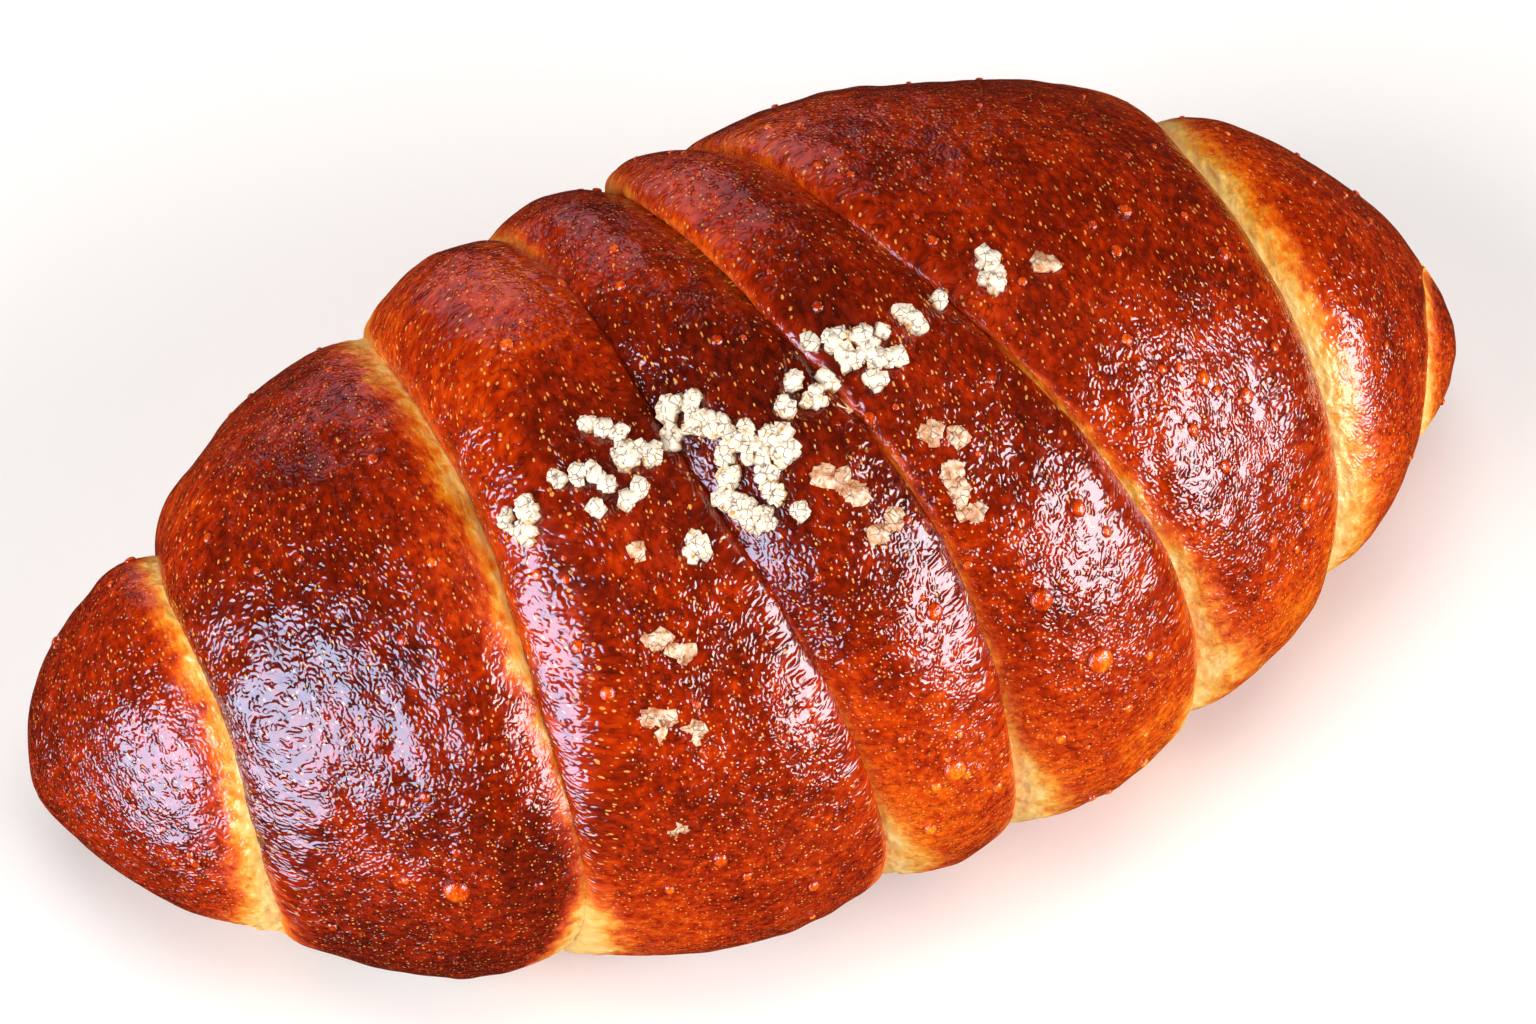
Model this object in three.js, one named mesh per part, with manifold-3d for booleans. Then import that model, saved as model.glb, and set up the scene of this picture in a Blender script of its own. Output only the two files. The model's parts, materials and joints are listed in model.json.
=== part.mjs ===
// A baked roll of glossy pretzel dough: one strip wound into a spindle of eight turns, flat underneath,
// with crumbs of coarse salt baked on along its crown. It is one body.
// Millimetres, +Z up, +X along the roll, resting on z = 0. Its front looks towards -Y.

import * as THREE from 'three';
import { mergeVertices } from 'three/addons/utils/BufferGeometryUtils.js';
import Module from 'manifold-3d';

const wasm = await Module();
wasm.setup();

// ---- the spindle that the turns are wound on

const LEFT_LENGTH = 75;
const RIGHT_LENGTH = 74.9;
const HALF_WIDTH = 37.9;
const CROWN_RISE = 33.8;
const BELLY_DROP = 26.2;
const CORE_HEIGHT = 20;
const NOSE_HEIGHT = 11;
const SOLE_ROUNDING = 4;
const SOLE_FLATNESS = 0.05;

// how blunt each end is: the scale across is (1 - u^belly)^(1 / nose), with u from the middle to the tip
const LEFT_BLUNTNESS = { belly: 2.15, nose: 1.73 };
const RIGHT_BLUNTNESS = { belly: 2.09, nose: 1.72 };

// how the spindle strays from a straight line, each a distance towards the back
const BOW = 2.6;
const SWAY = 0.8;
const LEFT_TIP_DRAW = 2.9;
const RIGHT_TIP_DRAW = -3.1;
const TIP_DRAW_FROM = 0.6;

// ---- the turns, from the left end to the right

// How far each turn's crest stands off the spindle. Its cushion makes it rounder across than the spindle:
// full in the turn's middle, with CUSHION_DATUM of it taken off all over.
const TURN_RISE = [-1.1, -0.8, -0.2, 0.8, 1.2, 0.7, -0.3, -0.8];
const TURN_CUSHION = [0, 1.0, 2.0, 1.4, 1.3, 1.2, 1.0, 0];
const CUSHION_DATUM = 0.6;

// the relief fades out towards the tips, where the scale across is under one in this
const RELIEF_FADE = 2;

// slow waves of the skin: reach (mm), radians for each mm along, waves around, phase
const UNEVEN = [
  { reach: 0.3, along: 0.21, around: 2, phase: 0.7 },
  { reach: 0.25, along: 0.13, around: -3, phase: 2.1 },
];

// The seams between the turns. A seam lies at `at` along the crown; `lean` shears it from back to front,
// `spread` carries it on over the sides to the sole, `twist` bends it, and `hook` draws it to the left low
// at the back. Its depth is given at the back, on the crown and in front. `over` says which turn laps over
// the other, at the back and in front: 1 for the left one, -1 for the right one.
const SEAMS = [
  { at: -56.8, lean: -0.9, spread: -0.1, twist: 0.1, hook: 0, depth: [4.0, 2.8, 2.2], over: [-1, -1] },
  { at: -29.1, lean: -1.7, spread: -2.3, twist: 1.0, hook: 0, depth: [1.5, 3.8, 1.4], over: [-1, -1] },
  { at: -11.2, lean: 5.2, spread: 2.2, twist: 0.1, hook: 4, depth: [1.4, 0.9, 1.4], over: [1, 1] },
  { at: 2.6, lean: 4.9, spread: 2.2, twist: 2.2, hook: 0, depth: [1.1, 0.9, 1.4], over: [-1, 1] },
  { at: 17.8, lean: 8.5, spread: 3.4, twist: 3.4, hook: 6, depth: [1.6, 1.1, 2.6], over: [-1, 1] },
  { at: 50.5, lean: -1.2, spread: -0.3, twist: 1.2, hook: 0, depth: [3.0, 2.8, 3.0], over: [1, 1] },
  { at: 71.3, lean: -4.2, spread: -3.0, twist: 0, hook: 0, depth: [2.0, 2.0, 1.6], over: [1, 1] },
];
const HOOK_FROM = 0.55;

// a seam closes up by this share as the skin turns under, between these cosines below the level
const FOOT_CLOSING = { share: 0.55, from: 0.05, to: 0.5 };

// a seam's own slight wander: reach (mm), waves around, phase from one seam to the next
const WANDER = [
  { reach: 0.3, waves: 3, phase: 2.4 },
  { reach: 0.2, waves: 5, phase: 1.7 },
];

// The turn that laps over ends in a round edge, whose width goes by the seam's depth and is larger on the
// crown. The other one comes out from under it on a slope.
const SIDE_EDGE = { base: 0.8, perDepth: 0.55, least: 1, most: 2.6 };
const CROWN_EDGE = { base: 0, perDepth: 2.2, least: 2, most: 7 };
const LAP_SLOPE = 8;
const BACK_SLOPE = 6.8;
const SLOPE_POWER = 1.8;
const LAP_SWITCH = { around: 0.15, blend: 0.3 };

// where the crown's edge takes over, by the cosine, and the back's slope, by the sine
const CROWN_BLEND = { from: 0.3, to: 0.75 };
const BACK_BLEND = { from: 0.2, to: 0.8 };

// ---- the net of the skin

const SKIN_COLUMNS = 64;
const TURN_ROWS = 8;
const END_ROWS = 6;

// ---- the salt

// Drifts of crumbs, as a ruled net over the roll shows them. Each starts and ends at a place along (mm) and
// around (degrees from the crown, + to the front), and has a number of crumbs of one width (mm).
const FRESH_DRIFTS = [
  [-27, 6.5, -25.5, 6, 2, 2.1],
  [-28.5, 10.5, -26.5, 9.5, 2, 2.2],
  [-22, 4.5, -22, 4.5, 1, 1.6],
  [-20.5, 5, -18, 7.5, 3, 1.8],
  [-20, 10.5, -20, 10.5, 1, 1.8],
  [-17.5, -1, -15.5, 2, 3, 1.6],
  [-16, 10, -17, 12, 2, 1.7],
  [-16, 5.5, -12.5, 5.5, 4, 2.4],
  [-15.5, 9, -15.5, 9, 1, 1.8],
  [-10, 0.5, -8.5, 2.5, 2, 2.4],
  [-11, 4.5, -8.5, 5.5, 3, 2.3],
  [-7, 6.5, -5, 12.5, 5, 2.7],
  [-7.5, 11, -7.5, 11, 1, 1.9],
  [-3, 11.5, -2.5, 16, 4, 2.5],
  [-5, 16, -5, 18.5, 2, 2.1],
  [-8, 13.5, -8.5, 18, 4, 2.4],
  [-7.5, 19, -6.5, 22.5, 4, 2.6],
  [-3.5, 22, -3.5, 22, 1, 1.8],
  [-13, 21, -13, 21, 1, 3.0],
  [-1, 9, 0.5, 6, 3, 2.0],
  [1.5, 8.5, 4, 6, 4, 2.2],
  [4, 1, 4, 1, 1, 1.5],
  [6, 3, 8.5, 4, 3, 2.7],
  [6.5, 6, 8, 6.5, 2, 2.4],
  [7.5, 9.5, 10, 7.5, 3, 2.1],
  [10, 4, 10, 4, 1, 1.1],
  [12.5, 3, 14.5, 5, 3, 1.8],
  [16.5, 1.5, 16.5, 1.5, 1, 1.7],
  [22.5, -2, 22, 2.5, 4, 2.5],
];
const MELTED_DRIFTS = [
  [-18, 18.5, -18, 18.5, 1, 1.6],
  [4.5, 10.5, 4.5, 10.5, 1, 2.2],
  [28, 1.5, 28, 1.5, 1, 2.2],
  [-0.5, 19, 3, 23.5, 5, 2.3],
  [10.5, 19.5, 13.5, 21.5, 4, 2.1],
  [11, 26, 11.5, 31, 4, 2.1],
  [2, 29, 4.5, 28, 2, 2.1],
  [-19.5, 30.5, -17, 35.5, 4, 2.2],
  [-22.5, 42, -18.5, 47.5, 5, 2.3],
  [-23.5, 51.5, -22.5, 60, 5, 1.9],
];

// how tall a crumb is for its width
const FRESH_HEIGHT = 0.65;
const MELTED_HEIGHT = 0.35;

const SALT_SEED = 2026;
const SALT_STRAY = 0.25;
const SALT_SIZE_SPREAD = 0.3;
const SALT_SINK = 0.12;

// the common 32-bit congruential draw
const DRAW_FACTOR = 1664525;
const DRAW_STEP = 1013904223;

// a crumb closer to another than this share of their two widths is left out
const CRUMB_SPACING = 0.33;
const CRUMB_STRETCH = { long: 1.15, across: 0.9, tall: 1.2 };

// a crumb's corners stand out unevenly, by a wave that steps on from corner to corner and crumb to crumb
const CRUMB_UNEVENNESS = { reach: 0.18, corner: 2.3, crumb: 1.7 };

// half the distance between the places that a normal of the skin is measured from
const FRAME_STEP = 0.5;

// corners of a mesh closer than this are one
const MERGE_WITHIN = 1e-4;

// ---- colours and finish

const CRUST = { color: 0x6e210a, roughness: 0.34, metalness: 0 };

// ---- the skin, as a place along and around the roll

const clamp01 = (value) => Math.min(Math.max(value, 0), 1);
const mix = (a, b, share) => a + (b - a) * share;
const smooth = (low, high, value) => THREE.MathUtils.smoothstep(value, low, high);
const radians = THREE.MathUtils.degToRad;

// the spindle's scale across at a place along it: 1 in the middle, 0 at the tips
function spindleScale(along) {
  const left = along < 0;
  const u = clamp01(Math.abs(along) / (left ? LEFT_LENGTH : RIGHT_LENGTH));
  const { belly, nose } = left ? LEFT_BLUNTNESS : RIGHT_BLUNTNESS;
  return (1 - u ** belly) ** (1 / nose);
}

// how far the spindle's middle line lies towards the back
function spindleDrift(along) {
  const u = along / RIGHT_LENGTH;
  const tip = clamp01((Math.abs(u) - TIP_DRAW_FROM) / (1 - TIP_DRAW_FROM));
  const tipDraw = along < 0 ? LEFT_TIP_DRAW : RIGHT_TIP_DRAW;
  return BOW * (u * u - 1 / 3) + SWAY * Math.sin(Math.PI * u) + tipDraw * tip * tip;
}

// rounds the foot of the sides into the flat sole, which takes in all that would barely clear the table
function onSole(height) {
  if (height > SOLE_ROUNDING) return height;
  const rounded = Math.max(height + SOLE_ROUNDING, 0) ** 2 / (4 * SOLE_ROUNDING);
  return rounded < SOLE_FLATNESS ? 0 : rounded;
}

// where seam k crosses the angle around the roll
function seamAlong(k, around) {
  const { at, lean, spread, twist, hook } = SEAMS[k];
  const spreadOut = spread * (1 - Math.cos(around));
  const sheared = at + lean * Math.sin(around) + spreadOut + twist * Math.sin(2 * around);
  const wander = WANDER.reduce((sum, w) => sum + w.reach * Math.sin(w.waves * around + w.phase * k), 0);
  const low = clamp01((-Math.sin(around) - HOOK_FROM) / (1 - HOOK_FROM));
  return sheared - hook * low * low + wander;
}

// how deep seam k is, from its depths at the back, on the crown and in front; it closes up towards its foot
function seamDepth(k, around) {
  const [back, crown, front] = SEAMS[k].depth;
  const side = Math.sin(around) ** 2;
  const depth = mix(crown, Math.sin(around) < 0 ? back : front, side);
  return depth * (1 - FOOT_CLOSING.share * smooth(FOOT_CLOSING.from, FOOT_CLOSING.to, -Math.cos(around)));
}

// 1 where the left turn laps over the right one at seam k, -1 where the right one laps over
function seamLap(k, around) {
  const [back, front] = SEAMS[k].over;
  const share = 0.5 + 0.5 * Math.tanh((around - LAP_SWITCH.around) / LAP_SWITCH.blend);
  return mix(back, front, share);
}

// the width of the round edge beside a seam of this depth
function edgeWidth(depth, around) {
  const [side, crown] = [SIDE_EDGE, CROWN_EDGE].map((edge) =>
    THREE.MathUtils.clamp(edge.base + edge.perDepth * depth, edge.least, edge.most),
  );
  return mix(side, crown, smooth(CROWN_BLEND.from, CROWN_BLEND.to, Math.cos(around)));
}

// how far the skin dips beside a seam: a round edge on the turn that laps over, a long slope on the other
function lapDip(distance, lap, depth, around) {
  const edge = 1 - clamp01(distance / edgeWidth(depth, around));
  const length = mix(LAP_SLOPE, BACK_SLOPE, smooth(BACK_BLEND.from, BACK_BLEND.to, -Math.sin(around)));
  const slope = 1 - clamp01(distance / length);
  return depth * mix(slope ** SLOPE_POWER, 1 - Math.sqrt(1 - edge * edge), 0.5 + 0.5 * lap);
}

// the ends of turn t along the roll at an angle around it
function turnEnds(t, around) {
  const left = t === 0 ? -LEFT_LENGTH : seamAlong(t - 1, around);
  const right = t === SEAMS.length ? RIGHT_LENGTH : seamAlong(t, around);
  return [left, right];
}

// a turn's own rise in its middle, run over to the mean of the two neighbours' at either seam
function turnRise(t, share) {
  const own = TURN_RISE[t];
  const before = TURN_RISE[Math.max(t - 1, 0)];
  const after = TURN_RISE[Math.min(t + 1, SEAMS.length)];
  return own + ((before - own) / 2) * (1 - share) ** 2 + ((after - own) / 2) * share ** 2;
}

// how far the skin dips beside the seam on one side of turn t: -1 for its left side, 1 for its right one
function seamDip(t, side, distance, around) {
  const k = side < 0 ? t - 1 : t;
  if (k < 0 || k === SEAMS.length) return 0;
  return lapDip(distance, side * seamLap(k, around), seamDepth(k, around), around);
}

// how far turn t's skin stands off the spindle
function turnRelief(t, along, around) {
  const [left, right] = turnEnds(t, around);
  const share = clamp01((along - left) / (right - left));
  const swell = TURN_CUSHION[t] * (4 * share * (1 - share) - CUSHION_DATUM);
  const dips = seamDip(t, -1, along - left, around) + seamDip(t, 1, right - along, around);
  const wave = (w) => w.reach * Math.sin(w.along * along + w.around * around + w.phase);
  const uneven = UNEVEN.reduce((sum, w) => sum + wave(w), 0);
  return (turnRise(t, share) + swell + uneven - dips) * clamp01(RELIEF_FADE * spindleScale(along));
}

// the point of turn t's skin at a place along the roll and an angle around it, from the crown to the front
function skinPoint(t, along, around) {
  const scale = spindleScale(along);
  const relief = turnRelief(t, along, around);
  const half = Math.max(HALF_WIDTH * scale + relief, 0);
  const rise = Math.max((Math.cos(around) > 0 ? CROWN_RISE : BELLY_DROP) * scale + relief, 0);
  const core = mix(NOSE_HEIGHT, CORE_HEIGHT, scale);
  return new THREE.Vector3(
    along,
    spindleDrift(along) - half * Math.sin(around),
    onSole(core + rise * Math.cos(around)),
  );
}

// the turn that a place on the skin belongs to
function turnAt(along, around) {
  const next = SEAMS.findIndex((_, k) => along < seamAlong(k, around));
  return next < 0 ? SEAMS.length : next;
}

// the point and the outward normal at a place on the skin
function skinFrame(along, around) {
  const t = turnAt(along, around);
  const point = skinPoint(t, along, around);
  const alongWay = skinPoint(t, along + FRAME_STEP, around).sub(skinPoint(t, along - FRAME_STEP, around));
  const turn = FRAME_STEP / HALF_WIDTH;
  const aroundWay = skinPoint(t, along, around + turn).sub(skinPoint(t, along, around - turn));
  const normal = aroundWay.clone().cross(alongWay).normalize();
  return { point, normal, alongWay: alongWay.normalize() };
}

// ---- the body of dough

// the rows of the net: each is a turn and a share of the way across it, closer together at the seams
function skinRows() {
  const rows = [];
  for (let t = 0; t <= SEAMS.length; t += 1) {
    const isEnd = t === 0 || t === SEAMS.length;
    const count = isEnd ? END_ROWS : TURN_ROWS;
    for (let i = 0; i < count; i += 1) {
      const step = i / count;
      let share = 0.5 - 0.5 * Math.cos(Math.PI * step);
      if (t === 0) share = 1 - Math.cos((Math.PI / 2) * step);
      if (t === SEAMS.length) share = Math.sin((Math.PI / 2) * step);
      rows.push({ t, share });
    }
  }
  rows.push({ t: SEAMS.length, share: 1 });
  return rows;
}

// a sphere's net, pole to pole along the roll, with each of its rings moved onto the turns
function doughGeometry() {
  const rows = skinRows();
  const net = new THREE.SphereGeometry(1, SKIN_COLUMNS, rows.length - 1);
  const position = net.attributes.position;
  for (let r = 0; r < rows.length; r += 1) {
    for (let c = 0; c <= SKIN_COLUMNS; c += 1) {
      const around = Math.PI - (2 * Math.PI * (c % SKIN_COLUMNS)) / SKIN_COLUMNS;
      const { t, share } = rows[r];
      const [left, right] = turnEnds(t, around);
      const point = skinPoint(t, mix(left, right, share), around);
      position.setXYZ(r * (SKIN_COLUMNS + 1) + c, point.x, point.y, point.z);
    }
  }
  return net;
}

// ---- the crumbs of salt

// an even draw from 0 to 1, the same each time
function drawer(seed) {
  let state = seed;
  return () => {
    state = (Math.imul(state, DRAW_FACTOR) + DRAW_STEP) >>> 0;
    return state / 2 ** 32;
  };
}

// where each crumb lies and how large it is, without those that would crowd one already there
function saltCrumbs() {
  const draw = drawer(SALT_SEED);
  const crumbs = [];
  const scatter = ([fromAlong, fromAround, toAlong, toAround, count, width], tall) => {
    for (let i = 0; i < count; i += 1) {
      const share = count > 1 ? i / (count - 1) : 0.5;
      const stray = count > 1 ? SALT_STRAY : 0;
      const along = mix(fromAlong, toAlong, share) + stray * (2 * draw() - 1);
      const around = mix(fromAround, toAround, share) + 2 * stray * (2 * draw() - 1);
      const size = width * (1 + SALT_SIZE_SPREAD * (draw() - 0.5));
      const turn = 2 * Math.PI * draw();
      const frame = skinFrame(along, radians(around));
      const away = (other) => frame.point.distanceTo(other.frame.point);
      const crowds = (other) => away(other) < CRUMB_SPACING * (size + other.size);
      if (!crumbs.some(crowds)) crumbs.push({ frame, size, tall, turn });
    }
  };
  FRESH_DRIFTS.forEach((drift) => scatter(drift, FRESH_HEIGHT));
  MELTED_DRIFTS.forEach((drift) => scatter(drift, MELTED_HEIGHT));
  return crumbs;
}

// a crumb is a lumpy twenty-sided grain, sunk a little into the skin
function crumbGeometry({ frame, size, tall, turn }, index) {
  const { point, normal, alongWay } = frame;
  const sideWay = normal.clone().cross(alongWay).normalize();
  const frontWay = sideWay.clone().cross(normal);
  const stand = new THREE.Matrix4().makeBasis(frontWay, sideWay, normal);
  stand.setPosition(point.addScaledVector(normal, -SALT_SINK * size * tall));
  const grain = new THREE.IcosahedronGeometry(1, 0);
  grain.deleteAttribute('normal');
  grain.deleteAttribute('uv');
  const lump = mergeVertices(grain);
  const position = lump.attributes.position;
  for (let i = 0; i < position.count; i += 1) {
    const wave = Math.sin(CRUMB_UNEVENNESS.corner * i + CRUMB_UNEVENNESS.crumb * index);
    const swell = (size / 2) * (1 + CRUMB_UNEVENNESS.reach * wave);
    const corner = new THREE.Vector3().fromBufferAttribute(position, i).multiplyScalar(swell);
    position.setXYZ(i, corner.x, corner.y, corner.z);
  }
  lump.scale(CRUMB_STRETCH.long, CRUMB_STRETCH.across, CRUMB_STRETCH.tall * tall);
  lump.rotateZ(turn);
  return lump.applyMatrix4(stand);
}

// ---- joining

function toSolid(geometry) {
  geometry.deleteAttribute('normal');
  geometry.deleteAttribute('uv');
  const merged = mergeVertices(geometry, MERGE_WITHIN);
  const mesh = new wasm.Mesh({
    numProp: 3,
    vertProperties: new Float32Array(merged.attributes.position.array),
    triVerts: new Uint32Array(merged.index.array),
  });
  return new wasm.Manifold(mesh);
}

function toGeometry(solid) {
  const mesh = solid.getMesh();
  const geometry = new THREE.BufferGeometry();
  geometry.setAttribute('position', new THREE.BufferAttribute(mesh.vertProperties, 3));
  geometry.setIndex(new THREE.BufferAttribute(mesh.triVerts, 1));
  return geometry;
}

// ---- the roll: dough and salt as one body, over the middle of its own footprint

let body = toSolid(doughGeometry());
saltCrumbs().forEach((crumb, index) => {
  body = body.add(toSolid(crumbGeometry(crumb, index)));
});

const rollGeometry = toGeometry(body);
rollGeometry.computeBoundingBox();
const middle = rollGeometry.boundingBox.getCenter(new THREE.Vector3());
rollGeometry.translate(-middle.x, -middle.y, 0);
rollGeometry.computeVertexNormals();

const roll = new THREE.Mesh(rollGeometry, new THREE.MeshStandardMaterial(CRUST));
roll.name = 'roll';

const group = new THREE.Group();
group.add(roll);
export default group;
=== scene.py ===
import json
import math

import bpy
import numpy as np
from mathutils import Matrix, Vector

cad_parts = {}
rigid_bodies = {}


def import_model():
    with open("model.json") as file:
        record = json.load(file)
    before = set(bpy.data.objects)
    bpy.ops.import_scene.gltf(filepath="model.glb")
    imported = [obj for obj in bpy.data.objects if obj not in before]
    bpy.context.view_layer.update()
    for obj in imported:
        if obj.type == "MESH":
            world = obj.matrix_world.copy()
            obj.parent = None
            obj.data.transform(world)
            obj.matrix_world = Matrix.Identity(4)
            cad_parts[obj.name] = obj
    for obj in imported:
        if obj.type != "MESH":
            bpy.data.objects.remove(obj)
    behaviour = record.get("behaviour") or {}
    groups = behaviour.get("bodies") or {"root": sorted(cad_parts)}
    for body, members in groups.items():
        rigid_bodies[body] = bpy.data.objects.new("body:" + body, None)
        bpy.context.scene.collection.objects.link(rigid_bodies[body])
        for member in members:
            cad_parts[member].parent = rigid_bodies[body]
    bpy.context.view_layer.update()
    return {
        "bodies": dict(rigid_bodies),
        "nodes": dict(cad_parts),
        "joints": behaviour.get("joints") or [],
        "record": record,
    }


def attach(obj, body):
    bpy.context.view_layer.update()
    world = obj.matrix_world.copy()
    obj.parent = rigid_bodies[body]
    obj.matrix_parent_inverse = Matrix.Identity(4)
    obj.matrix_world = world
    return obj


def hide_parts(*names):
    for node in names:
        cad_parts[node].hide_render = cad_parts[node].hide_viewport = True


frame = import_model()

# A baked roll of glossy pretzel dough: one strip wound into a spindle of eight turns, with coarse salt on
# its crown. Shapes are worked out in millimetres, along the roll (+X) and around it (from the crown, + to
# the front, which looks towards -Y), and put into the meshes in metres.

MM = 0.001
PI = math.pi
NODE = "roll"
BODY = "root"

# ---- the spindle that the turns are wound on, mm

LEFT_LENGTH = 75.0
RIGHT_LENGTH = 74.9
HALF_WIDTH = 37.9
CROWN_RISE = 33.8
BELLY_DROP = 26.2
CORE_HEIGHT = 20.0
NOSE_HEIGHT = 11.0
SOLE_ROUNDING = 4.0

# how blunt each end is: the scale across is (1 - u^belly)^(1/nose), as (belly, nose)
LEFT_BLUNTNESS = (2.15, 1.73)
RIGHT_BLUNTNESS = (2.09, 1.72)

# how far the spindle strays from a straight line, towards the back, and where the draw of the tips begins
BOW = 2.6
SWAY = 0.8
LEFT_TIP_DRAW = 2.9
RIGHT_TIP_DRAW = -3.1
TIP_DRAW_FROM = 0.6

# the middle of the roll's footprint, which becomes the origin
FOOT_MIDDLE = (-0.05, -0.74)

# ---- the turns and the seams between them, from the left end to the right

# How far each turn's crest stands off the spindle. Its cushion makes it rounder across than the spindle: full
# in the turn's middle, with CUSHION_DATUM of it taken off all over.
TURN_RISE = [-1.1, -0.8, -0.2, 0.8, 1.2, 0.7, -0.3, -0.8]
TURN_CUSHION = [0.0, 1.0, 2.0, 1.4, 1.3, 1.2, 1.0, 0.0]
CUSHION_DATUM = 0.6

# the relief fades out towards the tips, from where the scale across is 1 / RELIEF_FADE
RELIEF_FADE = 2

# slow waves of the skin: reach (mm), radians for each mm along, waves around, phase
UNEVEN = [(0.3, 0.21, 2, 0.7), (0.25, 0.13, -3, 2.1)]

# how dark each turn has baked at the back, on the crown, in front and at its foot; BAKE_ZONES says which of
# these four holds at each of the BAKE_ANGLES around it
BAKE_ANGLES = (-180, -150, -60, 0, 45, 85, 180)
BAKE_ZONES = (3, 0, 0, 1, 2, 3, 3)
BAKE = [
    (0.64, 0.76, 0.74, 0.67), (0.64, 0.79, 0.80, 0.74), (0.50, 0.70, 0.75, 0.56), (0.65, 0.88, 0.71, 0.45),
    (0.63, 0.84, 0.67, 0.41), (0.56, 0.73, 0.65, 0.42), (0.57, 0.65, 0.60, 0.45), (0.60, 0.78, 0.70, 0.45),
]

# painted shade: the crust is darkened by the first number here down to the floor, between these heights
FLOOR_SHADE = 0.12
FLOOR_SHADE_RUN = (0.5, 6.0)

# Beside a pale seam the crust has baked less, by up to HALO_BAKE. That reaches HALO_REACH in, and HALO_SPREAD
# further for each mm of pale dough; it is whole where the pale dough is HALO_WIDTH wide.
HALO_REACH = 6.0
HALO_SPREAD = 1.5
HALO_WIDTH = 2.5
HALO_BAKE = 0.30

# A seam lies at `at` along the crown. `lean` shears it from back to front, `spread` carries it on over the
# sides, `twist` bends it, and `hook` draws it to the left low at the back. `depth` is given at the back, on
# the crown and in front. `over` says which turn laps over at the back and in front: 1 is the left one and
# -1 the right one. `bare` is how wide the unbrowned dough shows on the left and on the right of the seam:
# at the back, on the crown and in front. `low` is what is added near the floor in front. All are in mm.
SEAMS = [
    dict(at=-56.8, lean=-0.9, spread=-0.1, twist=0.1, hook=0, depth=(4.0, 2.8, 2.2), over=(-1, -1),
         bare=((1.8, 2.0, 2.8), (0.6, 0.6, 0.9)), low=(2.0, 0.6)),
    dict(at=-29.1, lean=-1.7, spread=-2.3, twist=1.0, hook=0, depth=(1.5, 3.8, 1.4), over=(-1, -1),
         bare=((3.6, 2.6, 0.9), (1.9, 1.4, 0.9)), low=(3.2, 3.6)),
    dict(at=-11.2, lean=5.2, spread=2.2, twist=0.1, hook=4, depth=(1.4, 0.9, 1.4), over=(1, 1),
         bare=((1.6, 0.0, 0.2), (2.4, 0.0, 0.9)), low=(1.6, 3.4)),
    dict(at=2.6, lean=4.9, spread=2.2, twist=2.2, hook=0, depth=(1.1, 0.9, 1.4), over=(-1, 1),
         bare=((0.5, 0.0, 0.2), (1.4, 0.9, 0.9)), low=(1.5, 4.6)),
    dict(at=17.8, lean=8.5, spread=3.4, twist=3.4, hook=6, depth=(1.6, 1.1, 2.6), over=(-1, 1),
         bare=((2.2, 0.2, 0.8), (1.0, 0.8, 2.6)), low=(1.8, 3.6)),
    dict(at=50.5, lean=-1.2, spread=-0.3, twist=1.2, hook=0, depth=(3.0, 2.8, 3.0), over=(1, 1),
         bare=((0.6, 0.6, 0.7), (2.8, 3.0, 3.5)), low=(0.6, 1.0)),
    dict(at=71.3, lean=-4.2, spread=-3.0, twist=0.0, hook=0, depth=(2.0, 2.0, 1.6), over=(1, 1),
         bare=((0.4, 0.4, 0.4), (1.6, 1.5, 1.8)), low=(0.4, 0.8)),
]
LAST = len(SEAMS)
HOOK_FROM = 0.55

# a seam's own slight wander: reach (mm), waves around, phase from one seam to the next
WANDER = [(0.3, 3, 2.4), (0.2, 5, 1.7)]

# a seam closes up by this share as the skin turns under, between these cosines
FOOT_CLOSING = 0.55
FOOT_CLOSING_RUN = (-0.05, -0.5)

# where the lap changes from the back's to the front's, in radians
LAP_SWITCH = 0.15
LAP_BLEND = 0.3

# The turn that laps over ends in a round edge. Its width is (base, per mm of depth, least, most), and the
# crown's takes over between the cosines CROWN_BLEND. It bends by LIP_BEND, past upright, where it has dropped
# by LIP_DIP of the depth. It hangs over by LIP_HANG of the depth, from the cosine LIP_HANG_END on.
SIDE_EDGE = (0.8, 0.55, 1.0, 2.6)
CROWN_EDGE = (0.0, 2.2, 2.0, 7.0)
CROWN_BLEND = (0.3, 0.75)
LIP_BEND = math.radians(122)
LIP_DIP = 0.9
LIP_HANG = 0.16
LIP_HANG_END = -0.6
LIP_HANG_RUN = 0.3

# the turn that comes out from under it rises on a slope, with a length of its own at the back of the roll
LAP_SLOPE = 8.0
BACK_SLOPE = 6.8
BACK_BLEND = (0.2, 0.8)
SLOPE_POWER = 1.8

# how far a tucked edge runs on inside, in mm: along and down, with an extra curl on the one below
OVER_TUCK = (1.2, 4.5)
UNDER_TUCK = (3.0, 0.9)
UNDER_CURL = 3.0

# a place that a lap has shifted is looked for in steps, each of this share of what is missing
SHIFT_STEPS = 12
SHIFT_EASING = 0.5

# half the distance between the places that a normal of the skin is measured from, mm
FRAME_STEP = 0.5

# ---- the net of the skin

COLUMNS = 560
TURN_ROWS = 138
TUCK_ROWS = 4

# how far the rows are drawn together towards a turn's seams, and towards the tip on the end turns
ROW_CROWDING = 0.55
END_CROWDING = 0.7

# ---- fine relief and blotches: layers of noise, each of a reach (mm, or a share), a size (mm) and a seed

LUMPS = [(0.34, 13, 1), (0.16, 5.5, 2)]
WRINKLES = [(0.09, 2.0, 3)]
FLAKES = [(0.16, 0.7, 5)]
FLAKE_GRAIN = [(0.10, 0.45, 6)]
BLOTCHES = [(0.10, 16, 7), (0.08, 6, 8)]
RAGGED = [(0.30, 2.6, 31), (0.26, 1.0, 32), (0.14, 0.5, 33)]

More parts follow.
